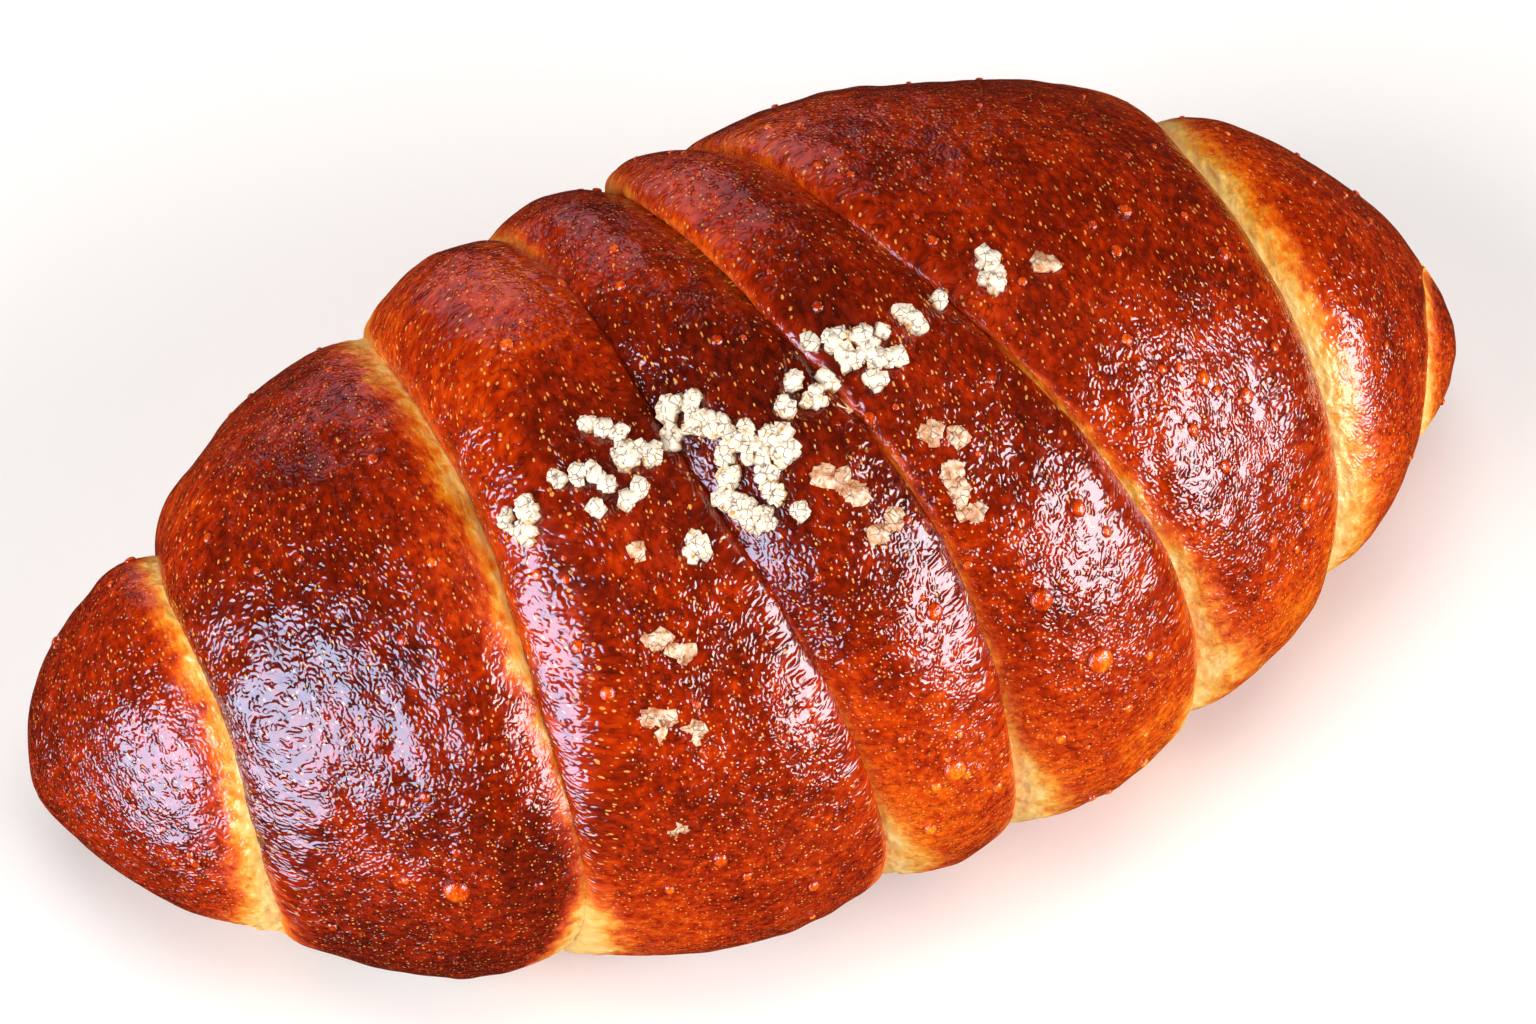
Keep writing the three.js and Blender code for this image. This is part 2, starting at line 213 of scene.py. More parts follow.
# the relief comes in between these heights above the floor, fades out within the first of a tuck, and is
# flaky where the dough is as bare as this
RELIEF_HEIGHTS = (0.15, 2.5)
TUCK_FADE = (0.0, 0.3)
FLAKY_FROM = (0.3, 0.9)

# places around are measured on the roll's own width, and on this one at the tips; wrinkles are drawn out
# around the roll by DRAWN_OUT, and little by height
TIP_WIDTH = 6.0
DRAWN_OUT = 2.6
DRAWN_HEIGHT = 0.15

# a tuck's end stays this far above the floor, and the sole's own colour ends between these heights
TUCK_LIFT = 0.35
SOLE_HEIGHTS = (0.05, 0.8)

# what each field holds in the middle of a shut end, which is out of sight
CAP_FIELD = 0.2

# The pale dough: it shows from a width on, is palest at the seam by (base, per mm of width), and falls off by
# (start, per width inward). It widens near the floor in front, between these sines and cosines.
LEAST_BARE = 0.05
BARE_SHOWS = (0.0, 0.3)
BARE_PEAK = (0.28, 0.30)
BARE_FALL = (1.08, 0.6)
LOW_FRONT = (0.72, 0.97)
LOW_FOOT = (0.4, -0.2)

# ---- blisters: along (mm), around (degrees), radius (mm), as a ruled net over the roll shows them; the small
# ones are strewn by a seeded draw

BLISTERS = [
    (-43, 65, 1.3), (-42, 56, 0.5), (-43, 44, 0.6), (-47, 62, 0.5), (-38, 25, 0.7), (-40, 17, 0.6),
    (-36, 67, 0.6), (-26, 28, 0.7), (-25, 36, 0.8), (-18, 42, 0.5), (-20, 69, 0.8), (-18, 74, 0.5),
    (-25, 74, 0.6), (-21, -19, 0.7), (-8, -28, 0.6), (5, 42, 0.9), (3, 68, 1.2), (1, 70, 0.6), (0, 80, 0.7),
    (6, 14, 0.7), (7, 77, 0.6), (15, 47, 1.2), (14, 73, 0.6), (19, 60, 1.4), (21, 37, 0.9), (23, 42, 0.6),
    (21, 72, 0.6), (24, 64, 0.6), (25, 3, 0.5), (32, 17, 0.7), (33, 49, 0.6), (35, 3, 0.7), (35, 34, 0.7),
    (36, 24, 0.6), (37, 42, 0.7), (38, 27, 0.8), (39, 30, 0.6), (38, -4, 0.8), (39, 64, 0.5), (40, 60, 0.9),
    (42, 33, 0.9), (43, 66, 0.5), (44, -2, 0.5), (45, 58, 0.8), (46, 7, 0.8), (47, 27, 0.6),
]
SMALL_BLISTERS = 170
SMALL_ALONG = (-70, 70)
SMALL_AROUND = (math.radians(-95), math.radians(100))
SMALL_RADIUS = (0.30, 0.35)
BLISTER_SEED = 41

# A blister's rings from its foot up, each (reach, height, how much darker than the crust), the first two in
# radii, and then its top as (height, how much darker). The darker foot ring is painted shade where the dome
# meets the crust; the lighter top is the blister's own colour. The narrowest is BLISTER_OVAL as wide along
# the roll, the crust's pattern is finer on it, and none stands on dough barer than BLISTER_MOST_BARE.
BLISTER_SIDES = 12
BLISTER_RINGS = [(1.0, -0.2, 0.10), (0.97, 0.16, 0.02), (0.82, 0.38, -0.18), (0.5, 0.52, -0.24)]
BLISTER_TOP = (0.58, -0.26)
BLISTER_OVAL = 0.85
BLISTER_PATTERN = 2
BLISTER_MOST_BARE = 0.3

# ---- the salt: drifts of crumbs, from and to (along mm, around degrees), how many and how wide (mm)

FRESH_DRIFTS = [
    (-27, 6.5, -25.5, 6, 2, 2.1),
    (-28.5, 10.5, -26.5, 9.5, 2, 2.2),
    (-22, 4.5, -22, 4.5, 1, 1.6),
    (-20.5, 5, -18, 7.5, 3, 1.8),
    (-20, 10.5, -20, 10.5, 1, 1.8),
    (-17.5, -1, -15.5, 2, 3, 1.6),
    (-16, 10, -17, 12, 2, 1.7),
    (-16, 5.5, -12.5, 5.5, 4, 2.4),
    (-15.5, 9, -15.5, 9, 1, 1.8),
    (-10, 0.5, -8.5, 2.5, 2, 2.4),
    (-11, 4.5, -8.5, 5.5, 3, 2.3),
    (-7, 6.5, -5, 12.5, 5, 2.7),
    (-7.5, 11, -7.5, 11, 1, 1.9),
    (-3, 11.5, -2.5, 16, 4, 2.5),
    (-5, 16, -5, 18.5, 2, 2.1),
    (-8, 13.5, -8.5, 18, 4, 2.4),
    (-7.5, 19, -6.5, 22.5, 4, 2.6),
    (-3.5, 22, -3.5, 22, 1, 1.8),
    (-13, 21, -13, 21, 1, 3.0),
    (-1, 9, 0.5, 6, 3, 2.0),
    (1.5, 8.5, 4, 6, 4, 2.2),
    (4, 1, 4, 1, 1, 1.5),
    (6, 3, 8.5, 4, 3, 2.7),
    (6.5, 6, 8, 6.5, 2, 2.4),
    (7.5, 9.5, 10, 7.5, 3, 2.1),
    (10, 4, 10, 4, 1, 1.1),
    (12.5, 3, 14.5, 5, 3, 1.8),
    (16.5, 1.5, 16.5, 1.5, 1, 1.7),
    (22.5, -2, 22, 2.5, 4, 2.5),
]
MELTED_DRIFTS = [
    (-18, 18.5, -18, 18.5, 1, 1.6),
    (4.5, 10.5, 4.5, 10.5, 1, 2.2),
    (28, 1.5, 28, 1.5, 1, 2.2),
    (-0.5, 19, 3, 23.5, 5, 2.3),
    (10.5, 19.5, 13.5, 21.5, 4, 2.1),
    (11, 26, 11.5, 31, 4, 2.1),
    (2, 29, 4.5, 28, 2, 2.1),
    (-19.5, 30.5, -17, 35.5, 4, 2.2),
    (-22.5, 42, -18.5, 47.5, 5, 2.3),
    (-23.5, 51.5, -22.5, 60, 5, 1.9),
]

# how tall a crumb is for its width
FRESH_HEIGHT = 0.65
MELTED_HEIGHT = 0.35

SALT_SEED = 2026
SALT_STRAY = 0.25
SALT_SIZE_SPREAD = 0.3

# a crumb closer to another than this share of their two widths is left out
CRUMB_SPACING = 0.33

# A crumb is a heap of blocks of about GRAIN_SIZE. There are GRAINS_LEAST, and FRESH_GRAINS or MELTED_GRAINS
# more times its width in grains to the GRAINS_POWER.
GRAIN_SIZE = 0.85
GRAINS_LEAST = 4
FRESH_GRAINS = 2.4
MELTED_GRAINS = 1.4
GRAINS_POWER = 1.8

# How the blocks lie: within the crumb's width less HEAP_EDGE of a grain, in a heap that is longer than wide.
# A fresh crumb's are piled up by FRESH_PILE of its width, less by PILE_FALL of that at its edge. The lifts
# hold for a crumb that is LIFT_HEIGHT as tall as wide. For the painted shade that makes low blocks tanner, a
# block lifted by the last share here of the crumb's width counts as fully lifted.
HEAP_EDGE = 0.8
HEAP_LEAST = 0.2
HEAP_LONG = 1.15
HEAP_ACROSS = 0.9
FRESH_LIFT = 0.25
FRESH_PILE = 0.34
PILE_FALL = 0.7
MELTED_LIFT = 0.08
LIFT_HEIGHT = 0.6
SHADE_LIFT_SHARE = 0.3

# a block's half sides in grains, each as (least, spread), and how a melted one is widened and flattened
BLOCK_SIZE = (0.36, 0.42)
BLOCK_LONG = (0.8, 0.5)
BLOCK_WIDE = (0.7, 0.4)
BLOCK_TALL = (0.8, 0.4)
MELTED_WIDER = 1.25
MELTED_TALL = 0.3
BLOCK_TIP = 0.9
MELTED_TIP = 0.3

# how far a block's corners are drawn in, and its roughness: the reach and the size of the pits, in mm
BLOCK_BEVEL = 0.3
BLOCK_ROUGHNESS = 0.07
BLOCK_ROUGHNESS_SIZE = 0.35
BLOCK_ROUGHNESS_SEEDS = (51, 52, 53)

# ---- seeded draws, and the mixing of bits for the noise

DRAW_FACTOR = 1664525
DRAW_STEP = 1013904223
HASH_FACTORS = (374761393, 668265263, 2246822519)
HASH_SEEDING = (7919, 101)
HASH_MIXING = (1274126177, 2654435761)

# keeps the noise's lattice clear of negative numbers
LATTICE_START = 500.0


# ---- small tools

def clamp01(value):
    return np.clip(value, 0.0, 1.0)


def mix(a, b, share):
    return a + (b - a) * share


def smooth(low, high, value):
    """A smooth rise from 0 at low to 1 at high."""
    t = clamp01((value - low) / (high - low))
    return t * t * (3 - 2 * t)


def hashed(x, y, z, seed):
    """An even number from -1 to 1 for each place of a whole-number lattice, by mixing their bits."""
    for_x, for_y, for_z = (np.uint32(factor) for factor in HASH_FACTORS)
    mixed = x.astype(np.uint32) * for_x + y.astype(np.uint32) * for_y
    mixed += z.astype(np.uint32) * for_z + np.uint32(seed * HASH_SEEDING[0] + HASH_SEEDING[1])
    mixed = (mixed ^ (mixed >> np.uint32(13))) * np.uint32(HASH_MIXING[0])
    mixed = (mixed ^ (mixed >> np.uint32(16))) * np.uint32(HASH_MIXING[1])
    return (mixed >> np.uint32(8)) / float(1 << 23) - 1.0


def noise(points, size, seed):
    """Smooth noise from -1 to 1: the lattice's numbers, a cell `size` mm, blended by quintic weights."""
    scaled = points / size + LATTICE_START
    cell = np.floor(scaled).astype(np.int64)
    part = scaled - cell
    part = part ** 3 * (part * (part * 6 - 15) + 10)
    total = 0.0
    for corner in range(8):
        step = [(corner >> k) & 1 for k in range(3)]
        weight = 1.0
        for k in range(3):
            weight = weight * (part[..., k] if step[k] else 1 - part[..., k])
        total = total + weight * hashed(*(cell[..., k] + step[k] for k in range(3)), seed)
    return total


def layered(points, layers):
    """Layers of noise added up, each times its reach."""
    return sum(reach * noise(points, size, seed) for reach, size, seed in layers)


def drawer(seed):
    """Even draws from 0 to 1, the same each time."""
    state = seed
    while True:
        state = (state * DRAW_FACTOR + DRAW_STEP) % 2 ** 32
        yield state / 2 ** 32


# ---- the skin, as a place along and around the roll

def spindle_scale(along):
    """(1 - u^belly)^(1/nose): 1 in the middle and 0 at the tips, with u from the middle to the tip."""
    left = along < 0
    u = clamp01(np.abs(along) / np.where(left, LEFT_LENGTH, RIGHT_LENGTH))
    belly = np.where(left, LEFT_BLUNTNESS[0], RIGHT_BLUNTNESS[0])
    nose = np.where(left, LEFT_BLUNTNESS[1], RIGHT_BLUNTNESS[1])
    return np.maximum(1 - u ** belly, 0.0) ** (1 / nose)


def spindle_drift(along):
    """How far the middle line lies towards the back: a bow, a sway and a draw of each tip."""
    u = along / RIGHT_LENGTH
    tip = clamp01((np.abs(u) - TIP_DRAW_FROM) / (1 - TIP_DRAW_FROM))
    draw = np.where(along < 0, LEFT_TIP_DRAW, RIGHT_TIP_DRAW)
    return BOW * (u * u - 1 / 3) + SWAY * np.sin(PI * u) + draw * tip * tip


def on_sole(height):
    """Rounds the foot of the sides into the flat sole at 0."""
    rounded = (height + SOLE_ROUNDING) ** 2 / (4 * SOLE_ROUNDING)
    return np.where(height > SOLE_ROUNDING, height, np.where(height < -SOLE_ROUNDING, 0.0, rounded))


def seam_along(k, around):
    """Where seam k crosses an angle around the roll: sheared, spread, twisted, hooked and a little wavy."""
    s = SEAMS[k]
    sheared = s["at"] + s["lean"] * np.sin(around) + s["spread"] * (1 - np.cos(around))
    sheared = sheared + s["twist"] * np.sin(2 * around)
    wander = sum(reach * np.sin(waves * around + phase * k) for reach, waves, phase in WANDER)
    low = clamp01((-np.sin(around) - HOOK_FROM) / (1 - HOOK_FROM))
    return sheared - s["hook"] * low * low + wander


def back_crown_front(values, around):
    """A value given at the back, on the crown and in front, carried round by the sine squared."""
    back, crown, front = values
    return mix(crown, np.where(np.sin(around) < 0, back, front), np.sin(around) ** 2)


def seam_depth(k, around):
    """How deep seam k lies below its neighbours' crests; it closes up towards the foot of the sides."""
    depth = back_crown_front(SEAMS[k]["depth"], around)
    return depth * (1 - FOOT_CLOSING * smooth(*FOOT_CLOSING_RUN, np.cos(around)))


def seam_lap(k, around):
    """1 where the left turn laps over the right one at seam k, -1 where the right one laps over."""
    back, front = SEAMS[k]["over"]
    return mix(back, front, 0.5 + 0.5 * np.tanh((around - LAP_SWITCH) / LAP_BLEND))


def edge_width(depth, around):
    """How wide the round edge of a lap is: by the seam's depth, and more on the crown."""
    side, crown = [
        np.clip(base + per_depth * depth, least, most)
        for base, per_depth, least, most in (SIDE_EDGE, CROWN_EDGE)
    ]
    return mix(side, crown, smooth(*CROWN_BLEND, np.cos(around)))


def lap_profile(inward, tuck, lap, depth, around):
    """The skin beside a seam, as (shift inward, dip below the crest), from the distance inward.

    A turn that laps over ends in an arc of an ellipse bent past upright, so its lip hangs over the seam, and
    then goes straight down inside. One that comes out from under slopes up away from the seam, and its tuck
    runs on below its neighbour. The two are blended by the lap.
    """
    over = 0.5 + 0.5 * lap
    edge = edge_width(depth, around)
    bend = LIP_BEND * clamp01(1 - inward / edge)
    lip = LIP_HANG * depth * clamp01((np.cos(around) - LIP_HANG_END) / LIP_HANG_RUN)
    over_shift = np.where(inward < edge, edge * (1 - np.sin(bend)) - lip * np.sin(bend) ** 2 - inward, 0.0)
    over_shift = over_shift + OVER_TUCK[0] * tuck
    over_dip = LIP_DIP * depth * (1 - np.cos(bend)) + OVER_TUCK[1] * tuck
    under_shift = -UNDER_TUCK[0] * tuck
    slope = mix(LAP_SLOPE, BACK_SLOPE, smooth(*BACK_BLEND, -np.sin(around)))
    under_dip = depth * clamp01(1 - inward / slope) ** SLOPE_POWER
    under_dip = under_dip + UNDER_TUCK[1] * tuck + UNDER_CURL * tuck ** 3
    return mix(under_shift, over_shift, over), mix(under_dip, over_dip, over)


def turn_ends(t, around):
    """The ends of turn t along the roll, at angles around it."""
    left = seam_along(t - 1, around) if t > 0 else np.full_like(around, -LEFT_LENGTH)
    right = seam_along(t, around) if t < LAST else np.full_like(around, RIGHT_LENGTH)
    return left, right


def raise_skin(along, around, relief):
    """The point of a skin that stands `relief` off the spindle: an ellipse across, flattened below."""
    scale = spindle_scale(along)
    relief = relief * clamp01(RELIEF_FADE * scale)
    half = np.maximum(HALF_WIDTH * scale + relief, 0)
    rise = np.maximum(np.where(np.cos(around) > 0, CROWN_RISE, BELLY_DROP) * scale + relief, 0)
    height = mix(NOSE_HEIGHT, CORE_HEIGHT, scale) + rise * np.cos(around)
    along, across, height = np.broadcast_arrays(along, spindle_drift(along) - half * np.sin(around), height)
    return np.stack([along - FOOT_MIDDLE[0], across - FOOT_MIDDLE[1], on_sole(height)], -1)


def turn_rise(t, share):
    """A turn's own rise in its middle, run over to the mean of the two neighbours' at either seam."""
    own, before, after = TURN_RISE[t], TURN_RISE[max(t - 1, 0)], TURN_RISE[min(t + 1, LAST)]
    return own + (before - own) / 2 * (1 - share) ** 2 + (after - own) / 2 * share ** 2


def turn_relief(t, along, around, tucks=(0.0, 0.0)):
    """How far turn t stands off the spindle, and its shift along: rise, cushion, unevenness and lap dips."""
    left, right = turn_ends(t, around)
    share = clamp01((along - left) / (right - left))
    relief = turn_rise(t, share)
    for reach, for_along, waves, phase in UNEVEN:
        relief = relief + reach * np.sin(for_along * along + waves * around + phase)
    relief = relief + TURN_CUSHION[t] * (4 * share * (1 - share) - CUSHION_DATUM)
    shift = np.zeros_like(relief)
    if t > 0:
        depth = seam_depth(t - 1, around)
        push, dip = lap_profile(along - left, tucks[0], -seam_lap(t - 1, around), depth, around)
        shift, relief = shift + push, relief - dip
    if t < LAST:
        depth = seam_depth(t, around)
        push, dip = lap_profile(right - along, tucks[1], seam_lap(t, around), depth, around)
        shift, relief = shift - push, relief - dip
    return relief, shift


def turn_at(along, around):
    """The turn that a place on the skin belongs to."""
    return sum(along >= seam_along(k, np.float64(around)) for k in range(LAST))


def skin_frame(along, around):
    """The point, the outward normal and the way along the roll, at one place on the skin.

    A lap shifts the skin along, so what is looked for is the net's own place that is shifted to this one.
    """
    t = turn_at(along, around)

    def place(a, b):
        a, b = np.full((1, 1), a, float), np.full((1, 1), b, float)
        net = a
        for _ in range(SHIFT_STEPS):
            net = net + SHIFT_EASING * (a - net - turn_relief(t, net, b)[1])
        return raise_skin(a, b, turn_relief(t, net, b)[0])[0, 0]

    point = place(along, around)
    way = place(along + FRAME_STEP, around) - place(along - FRAME_STEP, around)
    turn = FRAME_STEP / HALF_WIDTH
    round_way = place(along, around + turn) - place(along, around - turn)
    normal = np.cross(round_way, way)
    return point, normal / np.linalg.norm(normal), way / np.linalg.norm(way)


# ---- the turns' own skins

def turn_net(t):
    """The net of turn t: shares across it, and the tucks under its neighbours at either end."""
    step = np.linspace(0, 1, TURN_ROWS)
    share = mix(step, 0.5 - 0.5 * np.cos(PI * step), ROW_CROWDING)
    if t == 0:
        share = mix(step, 1 - np.cos(PI / 2 * step), END_CROWDING)[1:]
    if t == LAST:
        share = mix(step, np.sin(PI / 2 * step), END_CROWDING)[:-1]
    tuck = np.linspace(0, 1, TUCK_ROWS + 1)[1:]
    zero = np.zeros_like(share)
    left, right = zero, zero
    if t > 0:
        share = np.concatenate([0 * tuck, share])
        left, right = np.concatenate([tuck[::-1], left]), np.concatenate([0 * tuck, right])
    if t < LAST:
        share = np.concatenate([share, 1 + 0 * tuck])
        left, right = np.concatenate([left, 0 * tuck]), np.concatenate([right, tuck])
    return share[:, None], left[:, None], right[:, None]


def grid_normals(points):
    """Unit normals of a closed tube of rings, from the differences along and around it."""
    along = np.gradient(points, axis=0)
    around = np.roll(points, -1, axis=1) - np.roll(points, 1, axis=1)
    normal = np.cross(around, along)
    return normal / np.maximum(np.linalg.norm(normal, axis=-1, keepdims=True), 1e-9)


def halo_at(t, along, around):
    """How near a place is to a wide pale seam, where the crust has baked less: 1 beside it, 0 well in."""
    left, right = turn_ends(t, around)
    halo = 0.0
    for k, inward, side in ((t - 1, along - left, 1), (t, right - along, 0)):
        if 0 <= k < LAST:
            width = back_crown_front(SEAMS[k]["bare"][side], around)
            reach = clamp01(1 - inward / (HALO_REACH + HALO_SPREAD * width))
            halo = np.maximum(halo, reach ** 2 * clamp01(width / HALO_WIDTH))
    return halo


def bake_and_floor_shade_at(t, around, points):
    """How dark the crust has baked: the turn's own bake, run straight from one angle around it to the next,
    with slow blotches, and with painted shade that darkens it near the floor."""
    bake = np.interp(np.degrees(around), BAKE_ANGLES, [BAKE[t][zone] for zone in BAKE_ZONES])
    bake = bake + layered(points, BLOTCHES)
    # painted shade near the floor
    return bake + FLOOR_SHADE * (1 - smooth(*FLOOR_SHADE_RUN, points[..., 2]))


def blister_net():
    """One blister of radius 1 as rings of a circle, its foot's and its top's middle, and how dark each is,
    with painted shade on its foot ring.
    """
    reach, high, bake = (np.repeat(column, BLISTER_SIDES) for column in zip(*BLISTER_RINGS))
    angle = np.tile(2 * PI * np.arange(BLISTER_SIDES) / BLISTER_SIDES, len(BLISTER_RINGS))
    rings = np.stack([reach * np.cos(angle), reach * np.sin(angle), high], -1)
    net = np.concatenate([rings, [[0, 0, BLISTER_RINGS[0][1]], [0, 0, BLISTER_TOP[0]]]])
    return net, np.append(bake, [0.0, BLISTER_TOP[1]])


def blister_piece(crust):
    """The blisters as one mesh: each a low dome, closed by a flat disc under the skin."""
    draw = drawer(BLISTER_SEED)
    spots = [(a, math.radians(b), r) for a, b, r in BLISTERS]
    for _ in range(SMALL_BLISTERS):
        along = mix(*SMALL_ALONG, next(draw))
        around = mix(*SMALL_AROUND, next(draw))
        spots.append((along, around, SMALL_RADIUS[0] + SMALL_RADIUS[1] * next(draw) ** 2))
    net, ring_bake_and_shade = blister_net()
    places, bakes_and_shade, flows = [], [], []
    for along, around, radius in spots:
        point, normal, way = skin_frame(along, around)
        t = turn_at(along, around)
        bare = bare_share(t, np.float64(along), np.array(around), point)
        if bare > BLISTER_MOST_BARE:
            continue
        point = point + normal * layered(point, LUMPS)
        oval = mix(BLISTER_OVAL, 1.0, next(draw))
        basis = np.stack([way * oval, np.cross(normal, way), normal])
        places.append(point + radius * net @ basis)
        # painted shade: each blister's foot ring is darker than the crust round it
        bakes_and_shade.append(bake_and_floor_shade_at(t, np.array(around), point) + ring_bake_and_shade)
        flows.append([along, around * HALF_WIDTH, 0] + BLISTER_PATTERN * radius * net)
    piece = rings_object("blisters", np.array(places), BLISTER_SIDES, len(BLISTER_RINGS))
    add_field(piece, "bake", np.concatenate(bakes_and_shade))
    add_field(piece, "blister", np.ones(len(net) * len(places)))
    add_flow(piece, np.concatenate(flows))
    finish_piece(piece, crust)


def rings_object(name, places, sides, rings):
    """One mesh of many like tubes of rings, each shut at both ends by a fan to its last two points."""
    r, c = np.meshgrid(np.arange(rings - 1), np.arange(sides), indexing="ij")
    n = (c + 1) % sides
    quads = np.stack([r * sides + c, r * sides + n, (r + 1) * sides + n, (r + 1) * sides + c], -1).reshape(-1)
    c = np.arange(sides)
    n = (c + 1) % sides
    last = (rings - 1) * sides
    start = np.stack([np.full(sides, rings * sides), n, c], -1).reshape(-1)
    end = np.stack([np.full(sides, rings * sides + 1), last + c, last + n], -1).reshape(-1)
    loops = np.concatenate([quads, start, end])
    sizes = np.concatenate([np.full(len(quads) // 4, 4), np.full(2 * sides, 3)])
    offsets = np.arange(len(places))[:, None] * places.shape[1]
    loops = (loops + offsets).reshape(-1)
    return mesh_object(name, places.reshape(-1, 3) * MM, loops, np.tile(sizes, len(places)))


def add_field(piece, name, values):
    layer = piece.data.attributes.new(name, "FLOAT", "POINT")
    layer.data.foreach_set("value", values.astype(np.float32).ravel())


def add_flow(piece, places):
    """Place along the roll, around it and out from it, in mm, for patterns drawn out around the roll."""
    layer = piece.data.attributes.new("flow", "FLOAT_VECTOR", "POINT")
    layer.data.foreach_set("vector", places.astype(np.float32).ravel())


def finish_piece(piece, material):
    piece.data.materials.append(material)
    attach(piece, BODY)
    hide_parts(NODE)


def bare_share(t, along, around, points):
    """How far the dough has stayed pale: 1 at a seam, falling to 0 a few millimetres in, ragged and flaky."""
    left, right = turn_ends(t, around)
    ragged = layered(points, RAGGED)
    low = smooth(*LOW_FRONT, np.sin(around)) * smooth(*LOW_FOOT, np.cos(around))
    bare = 0.0
    for k, inward, side in ((t - 1, along - left, 1), (t, right - along, 0)):
        if not 0 <= k < LAST:
            continue
        width = back_crown_front(SEAMS[k]["bare"][side], around) + SEAMS[k]["low"][side] * low
        reach = inward / np.maximum(width, LEAST_BARE) + ragged
        peak = smooth(*BARE_SHOWS, width) * clamp01(BARE_PEAK[0] + BARE_PEAK[1] * width)
        bare = np.maximum(bare, peak * (BARE_FALL[0] - BARE_FALL[1] * reach))
    return clamp01(bare)


def turn_piece(t, crust):
    """Turn t as one closed skin: rings along the roll, shut at either end by a fan inside its neighbours.

    Fine relief goes along the normals: slow lumps, wrinkles drawn out around the roll and flaky tears on the
    pale dough. It fades out on the flat sole and in the tucks.
    """
    around = (2 * PI * np.arange(COLUMNS) / COLUMNS - PI)[None, :]
    share, tuck_left, tuck_right = turn_net(t)
    left, right = turn_ends(t, around)
    along = mix(left, right, share)
    relief, shift = turn_relief(t, along, around, (tuck_left, tuck_right))
    points = raise_skin(along + shift, around, relief)
    normals = grid_normals(points)
    tuck = np.maximum(tuck_left, tuck_right)
    open_skin = (1 - smooth(*TUCK_FADE, tuck)) * smooth(*RELIEF_HEIGHTS, points[..., 2])

    arc = around * mix(TIP_WIDTH, HALF_WIDTH, spindle_scale(along))
    drawn = np.stack([along, arc / DRAWN_OUT, points[..., 2] * DRAWN_HEIGHT], -1)
    bare = bare_share(t, along, around, points)
    wrinkles = layered(drawn, WRINKLES) * (1 - bare)
    flakes = smooth(*FLAKY_FROM, bare) * (layered(drawn, FLAKES) + layered(points, FLAKE_GRAIN))
    fine = layered(points, LUMPS) + wrinkles + flakes
    points = points + normals * (fine * open_skin)[..., None]
    points[..., 2] = np.maximum(points[..., 2], 0.0) + TUCK_LIFT * tuck

    bake = bake_and_floor_shade_at(t, around, points) - HALO_BAKE * halo_at(t, along, around)
    sole = 1 - smooth(*SOLE_HEIGHTS, points[..., 2])

    name = "turn_%d" % (t + 1)
    caps = [points[0].mean(0), points[-1].mean(0)]
    if t == 0:
        caps[0] = raise_skin(np.float64(-LEFT_LENGTH), np.float64(0), 0.0)
    if t == LAST:
        caps[1] = raise_skin(np.float64(RIGHT_LENGTH), np.float64(0), 0.0)
    places = np.concatenate([points.reshape(-1, 3), np.array(caps)])[None]
    piece = rings_object(name, places, COLUMNS, len(points))
    # the first field holds the crust's bake, with painted shade added near the floor
    fields = dict(bake=bake, bare=bare, blister=0 * bake, sole=sole)
    for field, values in fields.items():
        add_field(piece, field, np.append(values.ravel(), [CAP_FIELD] * len(caps)))
    flow = np.stack([along, arc, points[..., 2]], -1).reshape(-1, 3)
    add_flow(piece, np.concatenate([flow, flow[:2]]))
    finish_piece(piece, crust)


def mesh_object(name, vertices, loops, sizes):
    """A smooth-shaded mesh object at the origin, from arrays of places, corners and corners per face."""
    mesh = bpy.data.meshes.new(name)
    mesh.vertices.add(len(vertices))
    mesh.vertices.foreach_set("co", vertices.astype(np.float32).ravel())
    mesh.loops.add(len(loops))
    mesh.loops.foreach_set("vertex_index", loops.astype(np.int32))
    mesh.polygons.add(len(sizes))
    starts = np.concatenate([[0], np.cumsum(sizes)[:-1]])
    mesh.polygons.foreach_set("loop_start", starts.astype(np.int32))
    mesh.polygons.foreach_set("use_smooth", np.ones(len(sizes), bool))
    mesh.update(calc_edges=True)
    mesh.validate()
    piece = bpy.data.objects.new(name, mesh)
    bpy.context.scene.collection.objects.link(piece)
    return piece


# ---- the salt

def salt_crumbs():
    """Where each crumb lies, how wide and tall it is and which way it is turned; none crowds another."""
    draw = drawer(SALT_SEED)
    crumbs = []
    drifts = [(drift, FRESH_HEIGHT) for drift in FRESH_DRIFTS]
    drifts += [(drift, MELTED_HEIGHT) for drift in MELTED_DRIFTS]
    for (from_along, from_around, to_along, to_around, count, width), tall in drifts:
        for i in range(count):
            share = i / (count - 1) if count > 1 else 0.5
            stray = SALT_STRAY if count > 1 else 0.0
            along = mix(from_along, to_along, share) + stray * (2 * next(draw) - 1)
            around = mix(from_around, to_around, share) + 2 * stray * (2 * next(draw) - 1)
            size = width * (1 + SALT_SIZE_SPREAD * (next(draw) - 0.5))
            turn = 2 * PI * next(draw)
            frame = skin_frame(along, math.radians(around))
            near = [np.linalg.norm(frame[0] - c[0][0]) < CRUMB_SPACING * (size + c[1]) for c in crumbs]
            if not any(near):
                crumbs.append((frame, size, tall, turn))
    return crumbs


def block_net():
    """A cube's surface with each side in four: corner directions and quads, shared along the edges."""
    corners, faces = {}, []
    for axis in range(3):
        for sign in (-1, 1):
            for i in range(2):
                for j in range(2):
                    quad = []
                    for a, b in ((0, 0), (1, 0), (1, 1), (0, 1)):
                        place = [0, 0, 0]
                        place[axis] = sign
                        place[(axis + 1) % 3] = i + a - 1
                        place[(axis + 2) % 3] = j + b - 1
                        quad.append(corners.setdefault(tuple(place), len(corners)))
                    faces.append(quad if sign > 0 else quad[::-1])
    return np.array(list(corners), float), np.array(faces)


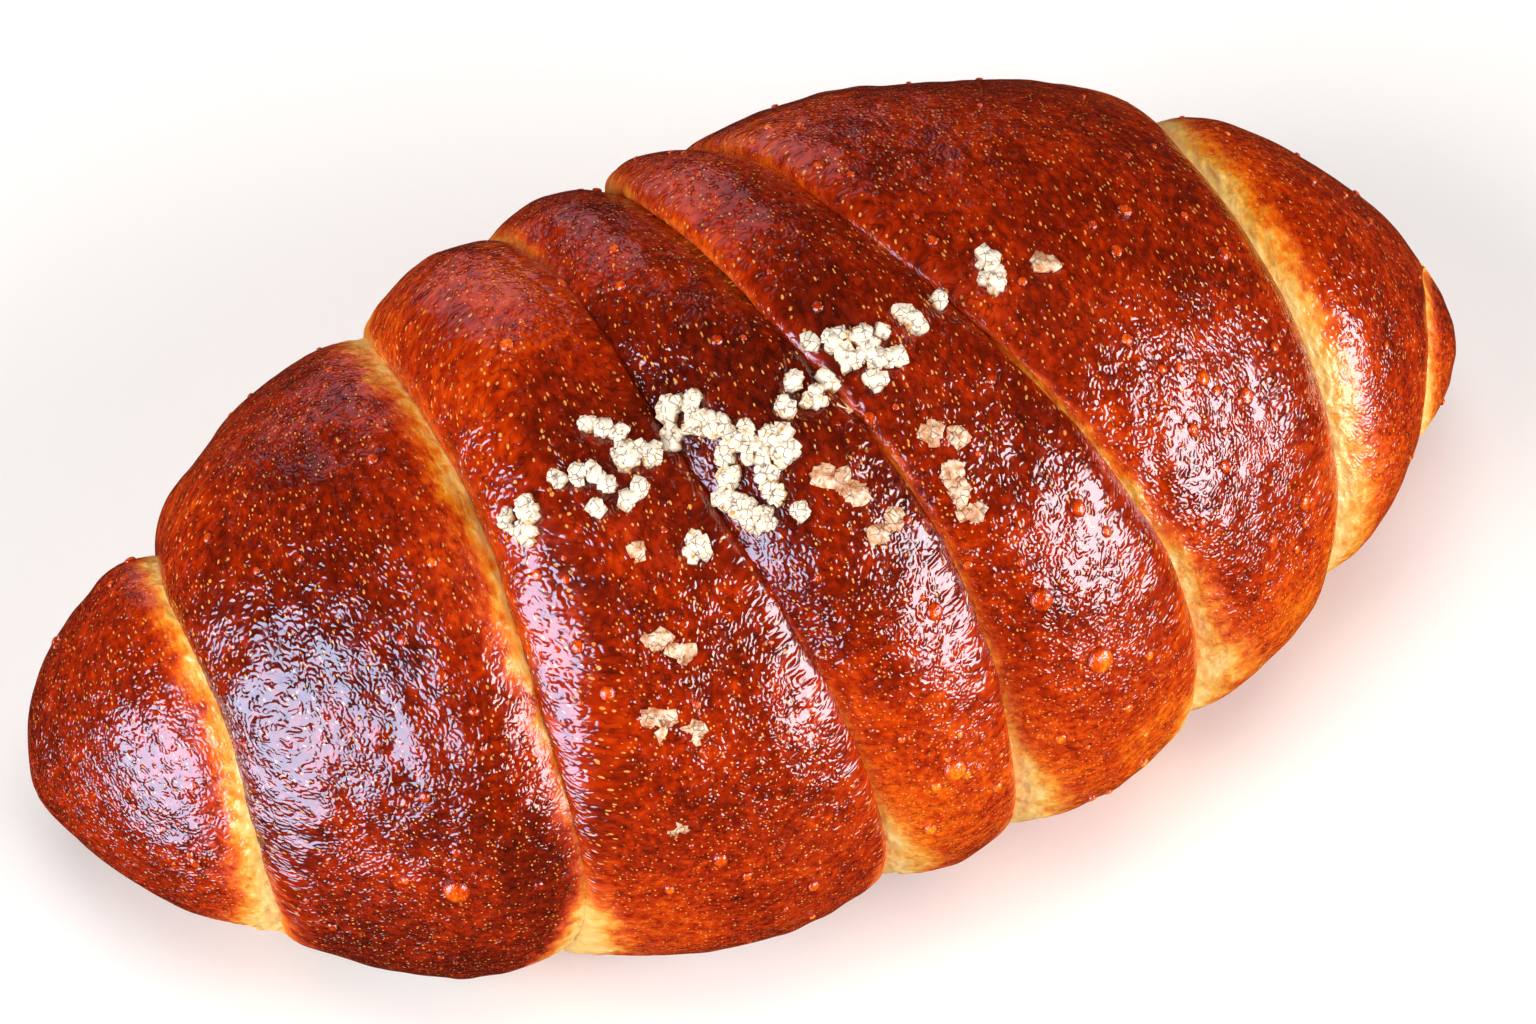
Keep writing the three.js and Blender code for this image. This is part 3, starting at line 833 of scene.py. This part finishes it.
def spun_and_tipped(spin, tip):
    """The rows of a frame that is spun about its third way and then tipped about its first."""
    spun = [[math.cos(spin), math.sin(spin), 0], [-math.sin(spin), math.cos(spin), 0], [0, 0, 1]]
    tipped = [[1, 0, 0], [0, math.cos(tip), math.sin(tip)], [0, -math.sin(tip), math.cos(tip)]]
    return np.array(spun) @ np.array(tipped)


def crumb_blocks(size, tall, draw):
    """The blocks of one crumb: each one's place, half sides, turned frame, and how far it is lifted for its
    crumb's width, which sets its painted shade.
    """
    melted = tall == MELTED_HEIGHT
    grains = MELTED_GRAINS if melted else FRESH_GRAINS
    blocks = []
    for _ in range(int(GRAINS_LEAST + grains * (size / GRAIN_SIZE) ** GRAINS_POWER)):
        angle, reach = 2 * PI * next(draw), math.sqrt(next(draw))
        spread = 0.5 * max(size - HEAP_EDGE * GRAIN_SIZE, HEAP_LEAST) * reach
        lift = MELTED_LIFT
        if not melted:
            lift = FRESH_LIFT + FRESH_PILE * size * next(draw) * (1 - PILE_FALL * reach)
        lift = lift * (tall / LIFT_HEIGHT)
        place = [HEAP_LONG * spread * math.cos(angle), HEAP_ACROSS * spread * math.sin(angle), lift]
        grain = GRAIN_SIZE * (BLOCK_SIZE[0] + BLOCK_SIZE[1] * next(draw)) * (MELTED_WIDER if melted else 1.0)
        high = MELTED_TALL if melted else BLOCK_TALL[0] + BLOCK_TALL[1] * next(draw)
        long = BLOCK_LONG[0] + BLOCK_LONG[1] * next(draw)
        wide = BLOCK_WIDE[0] + BLOCK_WIDE[1] * next(draw)
        spin = 2 * PI * next(draw)
        tip = BLOCK_TIP * (next(draw) - 0.5) * (MELTED_TIP if melted else 1.0)
        shade_rise = 1.0 if melted else lift / (SHADE_LIFT_SHARE * size)
        blocks.append((place, [grain * long, grain * wide, grain * high], spun_and_tipped(spin, tip), shade_rise))
    return blocks


def salt_piece(material):
    """All the crumbs as one mesh. A crumb is a heap of small rough blocks, highest in its middle; one that
    has melted is a low spread of flat ones."""
    net, faces = block_net()
    draw = drawer(SALT_SEED + 1)
    centres, turns, sizes, melts, shade_lifts = [], [], [], [], []
    for (point, normal, way), size, tall, turn in salt_crumbs():
        side = np.cross(normal, way)
        front = math.cos(turn) * way + math.sin(turn) * side
        basis = np.stack([front, -math.sin(turn) * way + math.cos(turn) * side, normal])
        for place, sides, frame_turn, shade_rise in crumb_blocks(size, tall, draw):
            centres.append(point + np.array(place) @ basis)
            sizes.append(sides)
            turns.append(frame_turn @ basis)
            melts.append(float(tall == MELTED_HEIGHT))
            shade_lifts.append(shade_rise)
    centres, turns, sizes = np.array(centres), np.array(turns), np.array(sizes)
    bevelled = net / np.linalg.norm(net, axis=1, keepdims=True) ** BLOCK_BEVEL
    blocks = bevelled[None] * sizes[:, None]
    places = centres[:, None] + np.einsum("bvk,bkl->bvl", blocks, turns)
    rough = [noise(places, BLOCK_ROUGHNESS_SIZE, seed) for seed in BLOCK_ROUGHNESS_SEEDS]
    places = places + BLOCK_ROUGHNESS * np.stack(rough, -1)
    offsets = (np.arange(len(centres)) * len(net))[:, None, None]
    loops = (faces[None] + offsets).reshape(-1)
    piece = mesh_object("salt", places.reshape(-1, 3) * MM, loops, np.full(len(loops) // 4, 4))
    add_field(piece, "melt", np.repeat(melts, len(net)))
    # painted shade: blocks low in a crumb, and the lower side of each block, come out tanner
    add_field(piece, "lift", np.array(shade_lifts)[:, None] + 0.5 * net[None, :, 2])
    finish_piece(piece, material)


# ---- shader maths

class Wire:
    """A socket that numbers and other sockets can be added to, multiplied by and so on."""

    def __init__(self, finish, socket):
        self.finish = finish
        self.socket = socket

    def maths(self, operation, *values):
        return self.finish.node("ShaderNodeMath", dict(operation=operation), *values)

    def __add__(self, other):
        return self.maths("ADD", self, other)

    def __radd__(self, other):
        return self.maths("ADD", other, self)

    def __sub__(self, other):
        return self.maths("SUBTRACT", self, other)

    def __rsub__(self, other):
        return self.maths("SUBTRACT", other, self)

    def __mul__(self, other):
        return self.maths("MULTIPLY", self, other)

    def __rmul__(self, other):
        return self.maths("MULTIPLY", other, self)

    def __abs__(self):
        return self.maths("ABSOLUTE", self)

    def fall(self, width):
        """1 at zero, falling evenly to 0 at `width`."""
        values = dict(Value=self) | {"From Min": 0.0, "From Max": width, "To Min": 1.0, "To Max": 0.0}
        return self.finish.node("ShaderNodeMapRange", {}, **values)

    def rise(self, low, high):
        """0 at low, 1 at high, smooth between; it falls where low is above high."""
        values = dict(Value=self) | {"From Min": low, "From Max": high}
        return self.finish.node("ShaderNodeMapRange", dict(interpolation_type="SMOOTHSTEP"), **values)


class Finish:
    """A material under construction: its nodes, and its Principled shader."""

    def __init__(self, name, **constants):
        self.material = bpy.data.materials.new(name)
        self.material.use_nodes = True
        self.tree = self.material.node_tree
        self.shader = self.tree.nodes["Principled BSDF"]
        for socket, value in constants.items():
            self.shader.inputs[socket.replace("_", " ")].default_value = value

    def plug(self, socket, value):
        if isinstance(value, Wire):
            self.tree.links.new(value.socket, socket)
        else:
            socket.default_value = value

    def node(self, kind, settings, *values, output=0, **named):
        """A node of a kind: its settings first, then its sockets by place or by name, and one output."""
        node = self.tree.nodes.new(kind)
        for key, value in settings.items():
            setattr(node, key, value)
        for place, value in enumerate(values):
            self.plug(node.inputs[place], value)
        for key, value in named.items():
            self.plug(node.inputs[key], value)
        return Wire(self, node.outputs[output])

    def feed(self, **sockets):
        for key, value in sockets.items():
            self.plug(self.shader.inputs[key.replace("_", " ")], value)

    def place(self):
        return self.node("ShaderNodeTexCoord", {}, output="Object")

    def attribute(self, name, output="Fac"):
        return self.node("ShaderNodeAttribute", dict(attribute_name=name), output=output)

    def scaled(self, vector, *factors):
        return self.node("ShaderNodeVectorMath", dict(operation="MULTIPLY"), vector, factors)

    def warped(self, vector, size, reach):
        """A vector pushed about by up to `reach`, in blotches of `size`."""
        values = dict(Vector=vector, Scale=1 / size, Detail=0.0)
        push = self.node("ShaderNodeTexNoise", {}, output="Color", **values)
        centring = dict(operation="MULTIPLY_ADD")
        push = self.node("ShaderNodeVectorMath", centring, push, (reach,) * 3, (-reach / 2,) * 3)
        return self.node("ShaderNodeVectorMath", dict(operation="ADD"), vector, push)

    def cloud(self, vector, size, detail=2.0, roughness=0.5):
        """Noise from 0 to 1 whose blotches are `size` of the vector's units."""
        values = dict(Vector=vector, Scale=1 / size, Detail=detail, Roughness=roughness)
        return self.node("ShaderNodeTexNoise", {}, output="Fac", **values)

    def cells(self, vector, size, feature="F1", output="Distance"):
        """Cells `size` of the vector's units across."""
        values = dict(Vector=vector, Scale=1 / size)
        return self.node("ShaderNodeTexVoronoi", dict(feature=feature), output=output, **values)

    def part(self, colour, channel):
        return self.node("ShaderNodeSeparateColor", {}, colour, output=channel)

    def ramp(self, share, stops):
        """A colour from a share, by stops of (share, sRGB colour)."""
        node = self.tree.nodes.new("ShaderNodeValToRGB")
        elements = node.color_ramp.elements
        elements[0].position, elements[0].color = stops[0][0], linear(stops[0][1])
        elements[1].position, elements[1].color = stops[-1][0], linear(stops[-1][1])
        for position, colour in stops[1:-1]:
            elements.new(position).color = linear(colour)
        self.plug(node.inputs[0], share)
        return Wire(self, node.outputs["Color"])

    def blend(self, share, a, b):
        """Two colours mixed by a share."""
        node = self.tree.nodes.new("ShaderNodeMix")
        node.data_type = "RGBA"
        for socket, value in ((node.inputs[0], share), (node.inputs[6], a), (node.inputs[7], b)):
            self.plug(socket, value)
        return Wire(self, node.outputs[2])

    def bump(self, height, distance):
        """A bump of heights, each times a distance in metres."""
        return self.node("ShaderNodeBump", {}, Height=height, Distance=distance, Strength=1.0)


def linear(colour):
    """An sRGB colour of 0 to 255 as the linear colour of 0 to 1 that shaders take."""
    share = np.array(colour, float) / 255
    light = np.where(share <= 0.04045, share / 12.92, ((share + 0.055) / 1.055) ** 2.4)
    return (*light.tolist(), 1.0)


# ---- materials

# the crust's colour by how far it has baked, and all other colours and stops, in sRGB of 0 to 255
CRUST_STOPS = [
    (0.00, (254, 216, 132)), (0.10, (252, 186, 74)), (0.22, (246, 142, 18)), (0.36, (232, 98, 4)),
    (0.50, (206, 64, 2)), (0.64, (168, 39, 1)), (0.80, (120, 23, 1)), (1.00, (68, 10, 1)),
]
FLECK_COLOUR = (248, 176, 88)
# painted shade in the crust's cracks
CRACK_SHADE_COLOUR = (58, 12, 6)
SOLE_STOPS = [(0.3, (112, 50, 20)), (0.7, (170, 92, 42))]
FRESH_STOPS = [(0.26, (196, 128, 62)), (0.38, (248, 208, 150)), (0.46, (255, 242, 222))]
MELTED_STOPS = [(0.3, (176, 96, 58)), (0.5, (222, 162, 118)), (0.64, (246, 220, 190))]
# painted shade in the salt's cracks
SALT_CRACK_SHADE_COLOUR = (104, 50, 20)
FLOOR_STOPS = [(0.3, (246, 246, 248)), (0.7, (250, 250, 251))]


def crust_finish():
    """Glossy lye crust: its colour by how far it has baked, with painted shade near the floor and at the
    blisters' feet, fine bright flecks, short cracks darkened by painted shade, and soft waves; pale dough is
    matt and flaky, and the sole is a dull brown."""
    f = Finish("crust", IOR=1.5, Specular_IOR_Level=1.0, Subsurface_Weight=0.05)
    f.shader.inputs["Subsurface Radius"].default_value = (1.0, 0.35, 0.12)
    f.shader.inputs["Subsurface Scale"].default_value = 0.0012
    place = f.place()
    skin = f.attribute("flow", "Vector")
    flow = f.scaled(skin, 1.0, 0.6, 1.0)
    # the first field read here is the bake, with painted shade near the floor and at the blisters' feet
    bake, bare = f.attribute("bake"), f.attribute("bare")
    blister, sole = f.attribute("blister"), f.attribute("sole")

    mottle = f.cloud(flow, 2.6, 2.0)
    speckle = f.cloud(flow, 0.75, 1.0, 0.6)
    tone = bake + (mottle - 0.5) * 0.35 + (speckle - 0.5) * 0.5
    flake = f.cloud(f.scaled(flow, 1.0, 0.5, 1.0), 0.5, 2.0, 0.6)
    pale = (bare + (flake - 0.5) * 0.5).rise(0.02, 0.98)
    tone = tone * (1 - pale) + 0.03

    dashes = f.warped(f.scaled(skin, 1.0, 0.42, 1.0), 0.9, 0.3)
    cell = f.cells(dashes, 0.38)
    chance = f.part(f.cells(dashes, 0.38, output="Color"), "Red")
    flecks = (chance * 0.31 + 0.02 - cell).rise(-0.02, 0.08)
    colour = f.ramp(tone, CRUST_STOPS)
    colour = f.blend(flecks * (1 - pale) * (0.45 + speckle * 0.65), colour, linear(FLECK_COLOUR))

    crisp = 1 - bare
    valley = abs(f.cloud(flow, 0.5, 0.0) - 0.5)
    broken = f.cloud(skin, 0.9, 0.0).rise(0.38, 0.6) * crisp * (1 - blister)
    # painted shade: the cracks' colour is darkened
    crack_shade = valley.fall(0.07) * broken
    colour = f.blend(crack_shade * 0.7, colour, linear(CRACK_SHADE_COLOUR))
    under = f.ramp(f.cloud(place, 0.002, 3.0, 0.6), SOLE_STOPS)
    colour = f.blend(sole, colour, under)

    waves = f.cloud(flow, 2.4, 0.0)
    height = waves * 0.35 + valley * (broken * 0.22 + 0.08) + flake * bare * 0.12
    rough = 0.10 + mottle * 0.06 + bare * 0.35 + sole * 0.35
    f.feed(Base_Color=colour, Roughness=rough, Normal=f.bump(height, 0.001))
    return f.material


def salt_finish():
    """Rough cream-white salt with tan patches, brown painted shade in its cracks and tan painted shade on its
    low grains; melted salt is glazed over and pinkish tan.
    """
    f = Finish("salt", IOR=1.5, Subsurface_Weight=0.15)
    f.shader.inputs["Subsurface Radius"].default_value = (1.0, 0.8, 0.55)
    f.shader.inputs["Subsurface Scale"].default_value = 0.0004
    place = f.place()
    melt = f.attribute("melt")
    # tan patches, with painted shade that makes low grains tanner
    patches_and_shade = f.cloud(place, 0.0008, 3.0, 0.6) + (f.attribute("lift") - 1.0) * 0.12
    fresh = f.ramp(patches_and_shade, FRESH_STOPS)
    melted = f.ramp(patches_and_shade, MELTED_STOPS)
    colour = f.blend(melt, fresh, melted)
    # painted shade: brown lines along the salt's cracks
    salt_crack_shade = f.cells(place, 0.0008, "DISTANCE_TO_EDGE").rise(0.09, 0.0)
    salt_crack_shade = salt_crack_shade * f.cloud(place, 0.0010, 1.0).rise(0.42, 0.5)
    colour = f.blend(salt_crack_shade * 0.85, colour, linear(SALT_CRACK_SHADE_COLOUR))
    grit = f.cloud(place, 0.0002, 3.0, 0.6)
    f.feed(Base_Color=colour, Roughness=0.5 - melt * 0.2, Normal=f.bump(grit, 0.00005))
    return f.material


def floor_finish():
    """Plain pale floor, very slightly clouded."""
    f = Finish("floor_paint", Roughness=0.6)
    cloud = f.cloud(f.place(), 0.4, 2.0)
    f.feed(Base_Color=f.ramp(cloud, FLOOR_STOPS))
    return f.material


# ---- stage, lights and camera

CAMERA_AZIMUTH = math.radians(-23.4)
CAMERA_ELEVATION = math.radians(63.2)
CAMERA_DISTANCE = 424 * MM
CAMERA_ANGLE = math.radians(20)

# the place looked at, from the spindle's own middle: along, towards the back and up, mm
LOOKED_AT = (0.0, -0.5, 22.0)
CAMERA_TARGET = (np.array(LOOKED_AT) - [*FOOT_MIDDLE, 0.0]) * MM

FLOOR_SIZE = 3.0

# Soft boxes: azimuth and elevation in degrees as seen from the roll, distance, width and height (m),
# radiance and colour. The first three show as reflections alone, the others as light alone.
SOFT_BOXES = dict(
    shine_left=(-84, 14, 1.1, 0.80, 1.1, 9.0, (0.58, 0.72, 1.0)),
    shine_right=(50, 25, 1.1, 1.1, 0.56, 10.0, (0.90, 0.92, 1.0)),
    shine_back=(180, 8, 1.1, 0.7, 0.8, 0.55, (1.0, 0.72, 0.9)),
    left=(-84, 29, 1.1, 0.70, 0.98, 7.0, (1.0, 0.97, 0.93)),
    right=(47, 26, 1.1, 0.86, 0.70, 7.0, (1.0, 0.97, 0.93)),
    fill=(150, 78, 1.3, 0.9, 0.9, 3.0, (1.0, 0.98, 0.95)),
)
WORLD_COLOUR = (1.0, 0.8, 0.65, 1.0)
WORLD_STRENGTH = 0.02


def direction(azimuth, elevation):
    """The unit vector to a place at that azimuth (0 is -Y, 90 is +X) and elevation."""
    return np.array([
        math.sin(azimuth) * math.cos(elevation),
        -math.cos(azimuth) * math.cos(elevation),
        math.sin(elevation),
    ])


def aim(thing, place, target):
    """Puts a camera or a light at a place, looking at a target, with Z up."""
    thing.location = place.tolist()
    thing.rotation_euler = Vector((target - place).tolist()).to_track_quat("-Z", "Y").to_euler()


def make_camera():
    data = bpy.data.cameras.new("camera")
    data.sensor_fit = "HORIZONTAL"
    data.angle = CAMERA_ANGLE
    data.clip_start = 0.01
    camera = bpy.data.objects.new("camera", data)
    bpy.context.scene.collection.objects.link(camera)
    aim(camera, CAMERA_TARGET + CAMERA_DISTANCE * direction(CAMERA_AZIMUTH, CAMERA_ELEVATION), CAMERA_TARGET)
    bpy.context.scene.camera = camera


def make_lights():
    for name, (azimuth, elevation, distance, width, height, radiance, colour) in SOFT_BOXES.items():
        data = bpy.data.lights.new(name, "AREA")
        data.shape = "RECTANGLE"
        data.size = width
        data.size_y = height
        data.energy = radiance * PI * width * height
        data.color = colour
        light = bpy.data.objects.new(name, data)
        light.visible_glossy = name.startswith("shine")
        light.visible_diffuse = not light.visible_glossy
        bpy.context.scene.collection.objects.link(light)
        aim(light, distance * direction(math.radians(azimuth), math.radians(elevation)), np.zeros(3))
    world = bpy.data.worlds.new("studio")
    world.use_nodes = True
    background = world.node_tree.nodes["Background"]
    background.inputs["Color"].default_value = WORLD_COLOUR
    background.inputs["Strength"].default_value = WORLD_STRENGTH
    bpy.context.scene.world = world


def make_floor():
    """A flat square of floor under the roll."""
    half = FLOOR_SIZE / 2
    corners = np.array([[-half, -half, 0], [half, -half, 0], [half, half, 0], [-half, half, 0]])
    floor = mesh_object("floor", corners, np.arange(4), np.array([4]))
    floor.data.materials.append(floor_finish())
    floor.visible_glossy = False


make_camera()
make_lights()
make_floor()
crust = crust_finish()
for turn in range(LAST + 1):
    turn_piece(turn, crust)
blister_piece(crust)
salt_piece(salt_finish())

bpy.context.scene.view_settings.view_transform = "Standard"
